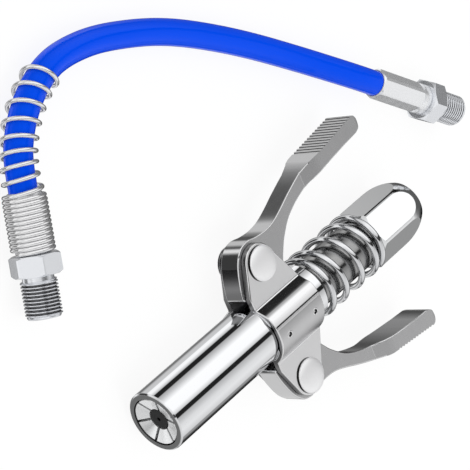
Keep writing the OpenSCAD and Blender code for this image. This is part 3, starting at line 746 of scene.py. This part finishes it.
# Crimped ferrule, bright zinc: milky white flats with pale grey edges
ferruleZinc = metal("zincCrimpedFerrule", "#F4F5F7", 0.25, mottle=0.03, metallic=0.65)
# Turned and milled fitting, bright zinc with a cold blue touch
fittingZinc = metal("zincTurnedFitting", "#EAECF0", 0.17, mottle=0.03, metallic=0.75)
# Painted shade in the thread's roots: dark lines between bright crests
rootShadePaint = metal("paintedThreadRootShade", "#77787A", 0.3)
# Drawn guard wire, bright zinc: light all over with thin dark gaps
guardSteel = metal("drawnGuardWire", "#F2F2F3", 0.12, metallic=0.85)
# Turned brass plunger, hidden behind the seal: plain warm yellow
plungerBrass = metal("turnedBrass", "#C9A865", 0.25)

# Nitrile rubber, moulded: near black, dull with a faint sheen
sealRubber, shader = newMaterial("mouldedNitrile")
shader.inputs["Base Color"].default_value = linear("#101112")
shader.inputs["Roughness"].default_value = 0.55

# Polyurethane hose, extruded: deep blue and glossy, with a skin as smooth as the die
hoseBlue, shader = newMaterial("extrudedBluePolyurethane")
shader.inputs["Base Color"].default_value = linear("#004CF0")
shader.inputs["Roughness"].default_value = 0.14
shader.inputs["IOR"].default_value = 1.5
shader.inputs["Specular Tint"].default_value = linear("#3C82FF")


def leverFinish(centres, normals):
    # 0 satin, 1 ground sides, 2 painted shade on the right heel's front
    heel = (normals[:, 0] > 0.9) & (centres[:, 1] < 0)
    return np.where(heel, 2, np.where(abs(normals[:, 2]) < 0.6, 1, 0))


def insideSleeve(centres, normals):
    # 1 in the bore, where a face's normal points at the axis and shade is painted
    return (normals[:, 1] * centres[:, 1] + normals[:, 2] * (centres[:, 2] - coupler["axis"])) < -0.5


def rimShadeFaces(centres, normals):
    # 1 on the upright rim and shank, which get painted shade, 0 on the domes
    return abs(normals[:, 2]) < 0.05


def threadRoots(label):
    # 1 in the roots of a hose end's thread, where shade is painted: near enough to its axis, between its
    # ends
    def choose(centres, normals):
        heading = radians(hose[label + "Heading"])
        way = np.array([cos(heading), sin(heading), 0.0])
        past = centres - np.array(hose[label + "End"])
        along = past @ way
        radius = np.linalg.norm(past - along[:, None] * way, axis=1)
        low = (radius > fitting["rootRadii"][0]) & (radius < fitting["rootRadii"][1])
        return np.where(low & (along > fitting["rootSpan"][0]) & (along < fitting["rootSpan"][1]), 1, 0)
    return choose


# each piece with its finishes, and the function that gives a face the number of its finish
yokeFinishes = ([yokeNickel, yokePolish, yokeShear, yokeDull], yokeFinish)
leverFinishes = ([castNickel, groundNickel, heelShadePaint], leverFinish)
rivetFinishes = ([rivetNickel, rimShadePaint], rimShadeFaces)
finishes = [
    (skins["sleeve"], [brightChrome, boreShadePaint], insideSleeve),
    (skins["core_tube"], [turnedSteel], None),
    (skins["rear_hex"], [hexChrome], None),
    (skins["yoke_plate_top"], *yokeFinishes),
    (skins["yoke_plate_bottom"], *yokeFinishes),
    (skins["left_rivet"], *rivetFinishes),
    (skins["right_rivet"], *rivetFinishes),
    (skins["left_lever"], *leverFinishes),
    (skins["right_lever"], *leverFinishes),
    (skins["seal"], [sealRubber], None),
    (skins["seal_plunger"], [plungerBrass], None),
    (frame["nodes"]["plunger_o_ring"], [sealRubber], None),
    (stakes[0], [yokePolish, rimShadePaint], pitShadeFaces),
    (stakes[1], [yokePolish, rimShadePaint], pitShadeFaces),
    (spring, [springWire], None),
    (smallSpring, [springWire], None),
    (springGuard, [guardSteel], None),
    (hoseTube, [hoseBlue], None),
    (nearFerrule, [ferruleZinc], None),
    (farFerrule, [ferruleZinc], None),
    (nipples[0], [fittingZinc, rootShadePaint], threadRoots("near")),
    (nipples[1], [fittingZinc, rootShadePaint], threadRoots("far")),
]
finishes += [(skins["jaw_%d" % (i + 1)], [jawSteel], None) for i in range(jaws["count"])]
for piece, materials, choose in finishes:
    piece.data.materials.clear()
    for material in materials:
        piece.data.materials.append(material)
    if choose:
        splitFaces(piece, choose)

# Studio: a pale floor and a sky of soft boxes with dark gaps between them, which only gloss sees
print("studio")
studio = {
    "floorHalf": 3.0,  # m, half of its side
    "floorDrop": 0.02,  # mm below the ground
    "floorColor": "#646464", "floorGlow": 0.88,
    "ambient": 0.85, "skyScale": 2.0,
    "reflects": 0.85,  # share of the sky that the metal gives back, on average
    "lampSize": (0.5, 0.4), "lampEnergy": 1.0, "lampPlace": (0.1, 0.25, 0.6),  # m, W, m
    "lampTilt": (-22, 9, 0),  # degrees
}
half = studio["floorHalf"]
floorMesh = bpy.data.meshes.new("floor")
corners = [(-half, -half, 0), (half, -half, 0), (half, half, 0), (-half, half, 0)]
floorMesh.from_pydata(corners, [], [(0, 1, 2, 3)])
floor = bpy.data.objects.new("floor", floorMesh)
floor.location = (0, 0, -studio["floorDrop"] * mm)
floor.visible_glossy = False
scene.collection.objects.link(floor)
# a painted floor that glows by itself: pale all over, with hardly a shadow
floorPaint, shader = newMaterial("paleFloor")
tree = floorPaint.node_tree
tree.nodes.remove(shader)
matt = addNode(tree, "ShaderNodeBsdfDiffuse", {"Color": linear(studio["floorColor"])})
glow = addNode(tree, "ShaderNodeEmission", {"Color": (1, 1, 1, 1), "Strength": studio["floorGlow"]})
mixed = addNode(tree, "ShaderNodeAddShader", {0: matt.outputs[0], 1: glow.outputs[0]})
tree.links.new(mixed.outputs[0], tree.nodes["Material Output"].inputs["Surface"])
floorMesh.materials.append(floorPaint)

# sRGB levels that a bright cylinder along X shows, over degrees from +Y over +Z to -Y
tubeSky = [
    (-180, 33), (-166.5, 33), (-164, 190), (-150, 248), (-139, 247), (-135, 200), (-127, 195), (-116, 195),
    (-98, 100), (-90, 110), (-81, 150), (-74, 130), (-69, 40), (-30, 40), (-20, 75), (-13, 140), (-2, 145),
    (2, 205), (30, 228), (51, 218), (67, 190), (76.5, 175), (77.8, 32), (92.7, 32), (94, 200), (109, 252),
    (143, 254), (157, 216), (164, 194), (175, 165), (176.5, 33), (180, 33),
]
# the same for what faces forwards, past the nose
noseSky = [
    (-180, 200), (-150, 230), (-127, 240), (-90, 240), (-80, 180), (-66, 120), (-50, 115), (-30, 180),
    (20, 215), (76, 210), (78, 60), (92, 60), (94, 215), (140, 250), (180, 200),
]
# shares of that light in percent over the direction's x, at most heights and well below the horizon
upperShare = [(-1, 25), (-0.88, 25), (-0.77, 100), (1, 100)]
lowerShare = [
    (-1, 15), (-0.78, 50), (-0.70, 60), (-0.66, 75), (-0.63, 100), (-0.45, 100), (-0.33, 40),
    (-0.25, 18), (-0.17, 15), (-0.02, 100), (1, 100),
]

world = bpy.data.worlds.new("studioSky")
scene.world = world
world.use_nodes = True
tree = world.node_tree
tree.nodes.clear()
# the parts of the direction in which a ray leaves the object
parts = addNode(tree, "ShaderNodeSeparateXYZ",
                {"Vector": addNode(tree, "ShaderNodeTexCoord").outputs["Generated"]})


def skyRamp(marks, low, high, source, brightness):
    # A color ramp over the source from low to high; brightness turns a mark into linear grey
    place = addNode(tree, "ShaderNodeMapRange", {"Value": source, "From Min": low, "From Max": high})
    node = addNode(tree, "ShaderNodeValToRGB", {"Fac": place.outputs["Result"]})
    stops = node.color_ramp.elements
    span = marks[-1][0] - marks[0][0]
    for position, mark in marks[1:-1]:
        stops.new((position - marks[0][0]) / span).color = (brightness(mark),) * 3 + (1,)
    stops[0].color = (brightness(marks[0][1]),) * 3 + (1,)
    stops[-1].color = (brightness(marks[-1][1]),) * 3 + (1,)
    return node.outputs["Color"]


def blendColors(share, first, second, how="MIX"):
    # The first color at share 0, the second one or their product at share 1
    node = addNode(tree, "ShaderNodeMix", {0: share, 6: first, 7: second}, data_type="RGBA", blend_type=how)
    return node.outputs[2]


def skyLevel(level):
    # Linear light behind an sRGB level that is seen in the metal, scaled down to fit the ramp
    return linear("#%02X%02X%02X" % ((round(level),) * 3))[0] / studio["reflects"] / studio["skyScale"]


def window(low, high, axis):
    # Rises from 0 to 1 between two values of one of the direction's parts
    return addNode(tree, "ShaderNodeMapRange",
                   {"Value": parts.outputs[axis], "From Min": low, "From Max": high},
                   interpolation_type="SMOOTHSTEP").outputs["Result"]


def both(first, second):
    # The product of two masks
    return addNode(tree, "ShaderNodeMath", {0: first, 1: second}, operation="MULTIPLY").outputs[0]


turnAngle = addNode(tree, "ShaderNodeMath", {0: parts.outputs["Z"], 1: parts.outputs["Y"]},
                    operation="ARCTAN2")
along = skyRamp(tubeSky, -pi, pi, turnAngle.outputs[0], skyLevel)
ahead = skyRamp(noseSky, -pi, pi, turnAngle.outputs[0], skyLevel)
upper = skyRamp(upperShare, -1, 1, parts.outputs["X"], lambda share: share / 100)
lower = skyRamp(lowerShare, -1, 1, parts.outputs["X"], lambda share: share / 100)
deep = addNode(tree, "ShaderNodeMapRange",
               {"Value": parts.outputs["Z"], "From Min": -0.3, "From Max": -0.45})
sky = blendColors(window(-0.2, 0.15, "X"), along, ahead)
share = blendColors(deep.outputs["Result"], upper, lower)
light = blendColors(1.0, sky, share, "MULTIPLY")
below = window(-0.45, -0.58, "Z")
# a grey screen behind, a dark one low on the right and a bright one low on the left
screens = [
    (window(-0.86, -0.95, "X"), 85),
    (both(below, both(window(-0.03, -0.12, "Y"), window(0.1, 0.32, "X"))), 60),
    (both(below, both(window(0.42, 0.52, "Y"), window(-0.52, -0.44, "X"))), 205),
]
for factor, level in screens:
    light = blendColors(factor, light, (skyLevel(level),) * 3 + (1,))
# gloss sees the bands, what is dull gets an even light, and the camera sees white
bands = addNode(tree, "ShaderNodeBackground", {"Color": light, "Strength": studio["skyScale"]})
plain = addNode(tree, "ShaderNodeBackground", {"Color": (1, 1, 1, 1), "Strength": studio["ambient"]})
white = addNode(tree, "ShaderNodeBackground", {"Color": (1, 1, 1, 1), "Strength": 1.0})
path = addNode(tree, "ShaderNodeLightPath")
gloss = addNode(tree, "ShaderNodeMixShader", {0: path.outputs["Is Glossy Ray"], 1: plain.outputs[0],
                                              2: bands.outputs[0]})
seen = addNode(tree, "ShaderNodeMixShader", {0: path.outputs["Is Camera Ray"], 1: gloss.outputs[0],
                                             2: white.outputs[0]})
addNode(tree, "ShaderNodeOutputWorld", {"Surface": seen.outputs[0]})

lamp = bpy.data.lights.new("softBox", "AREA")
lamp.shape = "RECTANGLE"
lamp.size, lamp.size_y = studio["lampSize"]
lamp.energy = studio["lampEnergy"]
softBox = bpy.data.objects.new("softBox", lamp)
softBox.location = studio["lampPlace"]
softBox.rotation_euler = [radians(tilt) for tilt in studio["lampTilt"]]
softBox.visible_glossy = False
scene.collection.objects.link(softBox)

scene.view_settings.view_transform = "Standard"
